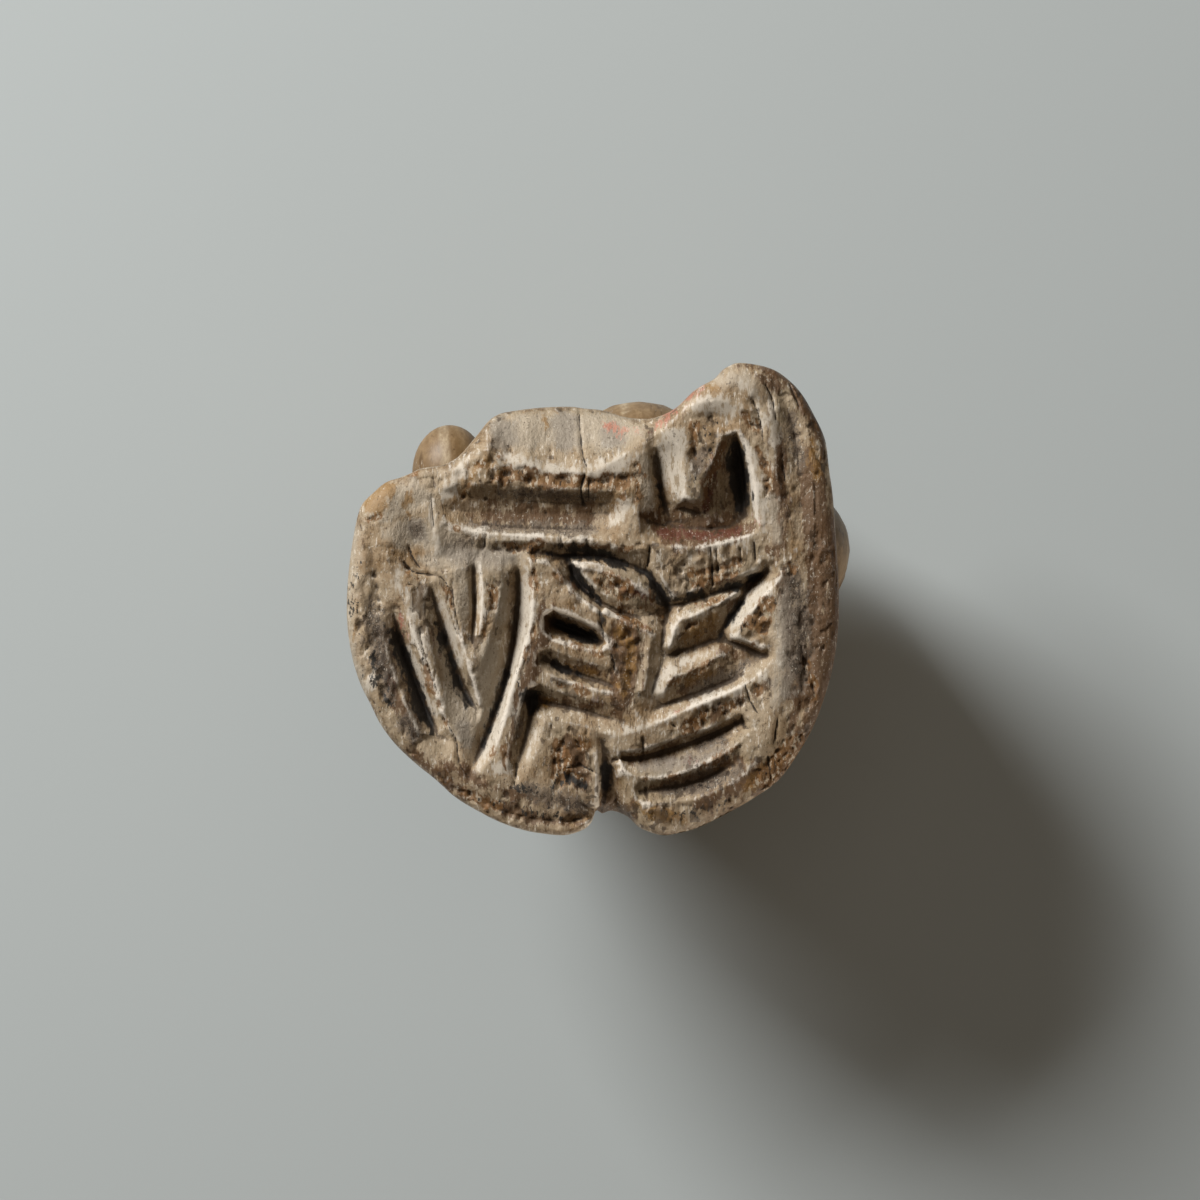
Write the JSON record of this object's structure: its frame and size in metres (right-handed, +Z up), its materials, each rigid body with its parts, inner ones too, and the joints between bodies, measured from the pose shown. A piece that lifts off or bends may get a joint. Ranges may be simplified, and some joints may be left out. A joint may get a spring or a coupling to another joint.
{
  "type": "figural stamp seal",
  "caption": "Worn ivory stamp seal: a rounded face cut with deep gouge strokes, and on its back a small resting animal carved from the same piece.",
  "frame": {"origin": "a point on the small worn flat on the animal's back, on the surface that the seal lies on, straight under the middle of the carved face", "axes": "+Z up, from the animal's back to the carved face; +X to the right and +Y to the top of the face as it is seen from above, with the high corner of the face at +X +Y and the nick in its edge at -Y"},
  "size_m": [0.0207, 0.0192, 0.0145],
  "materials": {
    "aged_ivory": "satin"
  },
  "bodies": {
    "root": {"seal": "aged_ivory"}
  },
  "joints": []
}
